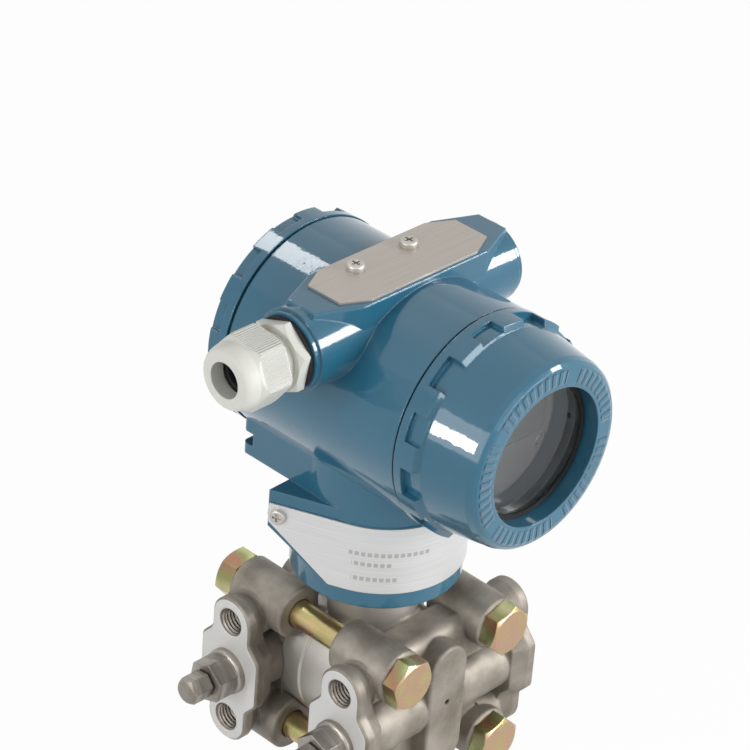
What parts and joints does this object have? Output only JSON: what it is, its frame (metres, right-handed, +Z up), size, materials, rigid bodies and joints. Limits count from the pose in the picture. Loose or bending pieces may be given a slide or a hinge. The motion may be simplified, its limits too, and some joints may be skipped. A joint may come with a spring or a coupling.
{
  "type": "differential pressure transmitter",
  "caption": "Field pressure transmitter: round two-chamber housing with window cover and cable gland on a measuring cell bolted between two process flanges.",
  "frame": {"origin": "centre of the four tapped holes of the process connection, on the faces of the +X flange pads", "axes": "+X out of the process connection, +Y away from the window towards the blank rear cover, +Z up along the neck; the cable gland points to -X"},
  "size_m": [0.1249, 0.1213, 0.1992],
  "materials": {
    "blue_enamel": "gloss powder coat with a fine orange peel",
    "cast_steel": "blasted cast stainless steel, machined on the pads",
    "turned_steel": "turned stainless steel",
    "dark_steel": "dark machined steel",
    "sheet_steel": "finely brushed stainless sheet",
    "yellow_zinc": "yellow zinc plating with rainbow tints",
    "white_nylon": "moulded off-white nylon",
    "black_rubber": "matt black rubber",
    "seal_polymer": "off-white fluoropolymer",
    "dark_plastic": "dark moulded plastic",
    "panel_face": "grey-green display panel",
    "board_green": "green board with a tinned can",
    "nickel_brass": "nickel-plated brass",
    "window_pane": "thick clear glass"
  },
  "bodies": {
    "transmitter": {"electronics_housing": "blue_enamel", "sensor_module": "turned_steel", "front_flange": "cast_steel", "rear_flange": "cast_steel", "front_process_seal": "seal_polymer", "rear_process_seal": "seal_polymer", "front_diaphragm": "sheet_steel", "rear_diaphragm": "sheet_steel", "flange_bolts": "yellow_zinc", "flange_nuts": "yellow_zinc", "front_vent_body": "dark_steel", "rear_vent_body": "dark_steel", "electronics_board": "board_green", "board_pillars": "nickel_brass", "display_module": "dark_plastic", "display_panel": "panel_face", "display_screws": "nickel_brass", "terminal_block": "dark_plastic", "terminal_screws": "nickel_brass", "terminal_fixings": "nickel_brass", "earth_screw": "nickel_brass", "top_nameplate": "sheet_steel", "nameplate_screws": "turned_steel", "neck_tag": "sheet_steel", "tag_screws": "turned_steel", "gland_washer": "black_rubber", "gland_body": "white_nylon", "conduit_plug": "turned_steel"},
    "front_cover_carrier": {"front_cover_seal": "black_rubber"},
    "front_cover": {"front_cover": "blue_enamel", "window_glass": "window_pane", "window_gasket": "black_rubber", "window_retainer": "turned_steel"},
    "rear_cover_carrier": {"rear_cover_seal": "black_rubber"},
    "rear_cover": {"rear_cover": "blue_enamel"},
    "gland_seal": {"gland_seal": "black_rubber"},
    "gland_nut": {"gland_nut": "white_nylon"},
    "front_vent_ball": {"front_vent_ball": "turned_steel"},
    "front_vent_stem": {"front_vent_stem": "dark_steel"},
    "rear_vent_ball": {"rear_vent_ball": "turned_steel"},
    "rear_vent_stem": {"rear_vent_stem": "dark_steel"},
    "span_adjuster": {"span_adjuster": "nickel_brass"},
    "zero_adjuster": {"zero_adjuster": "nickel_brass"}
  },
  "joints": [
    {"name": "front_cover_travel", "type": "slide", "parent": "transmitter", "child": "front_cover_carrier", "axis": [0, -1, 0], "range_m": [0, 0.0076]},
    {"name": "front_cover_turn", "type": "hinge", "parent": "front_cover_carrier", "child": "front_cover", "pos_m": [-0.0429, 0, 0.1207], "axis": [0, -1, 0], "range_deg": [0, 1800]},
    {"name": "rear_cover_travel", "type": "slide", "parent": "transmitter", "child": "rear_cover_carrier", "axis": [0, 1, 0], "range_m": [0, 0.0076]},
    {"name": "rear_cover_turn", "type": "hinge", "parent": "rear_cover_carrier", "child": "rear_cover", "pos_m": [-0.0429, 0, 0.1207], "axis": [0, 1, 0], "range_deg": [0, 1800]},
    {"name": "gland_nut_travel", "type": "slide", "parent": "transmitter", "child": "gland_seal", "axis": [-1, 0, 0], "range_m": [0, 0.006]},
    {"name": "gland_nut_turn", "type": "hinge", "parent": "gland_seal", "child": "gland_nut", "pos_m": [-0.11, 0, 0.1467], "axis": [-1, 0, 0], "range_deg": [0, 1460]},
    {"name": "front_vent_travel", "type": "slide", "parent": "transmitter", "child": "front_vent_ball", "axis": [-1, 0, 0], "range_m": [0, 0.002]},
    {"name": "front_vent_turn", "type": "hinge", "parent": "front_vent_ball", "child": "front_vent_stem", "pos_m": [-0.1, -0.027, 0], "axis": [-1, 0, 0], "range_deg": [0, 740]},
    {"name": "rear_vent_travel", "type": "slide", "parent": "transmitter", "child": "rear_vent_ball", "axis": [-1, 0, 0], "range_m": [0, 0.002]},
    {"name": "rear_vent_turn", "type": "hinge", "parent": "rear_vent_ball", "child": "rear_vent_stem", "pos_m": [-0.1, 0.027, 0], "axis": [-1, 0, 0], "range_deg": [0, 740]},
    {"name": "span_adjuster_press", "type": "slide", "parent": "transmitter", "child": "span_adjuster", "axis": [0, 0, -1], "range_m": [0, 0.0011], "stiffness_N_per_m": 200},
    {"name": "zero_adjuster_press", "type": "slide", "parent": "transmitter", "child": "zero_adjuster", "axis": [0, 0, -1], "range_m": [0, 0.0011], "stiffness_N_per_m": 200}
  ],
  "couplings": [
    {"joint": "front_cover_travel", "follows": "front_cover_turn", "m_per_rad": 0.00023873},
    {"joint": "rear_cover_travel", "follows": "rear_cover_turn", "m_per_rad": 0.00023873},
    {"joint": "gland_nut_turn", "follows": "gland_nut_travel", "rad_per_m": 4188.8},
    {"joint": "front_vent_turn", "follows": "front_vent_travel", "rad_per_m": 6283.2},
    {"joint": "rear_vent_turn", "follows": "rear_vent_travel", "rad_per_m": 6283.2}
  ]
}
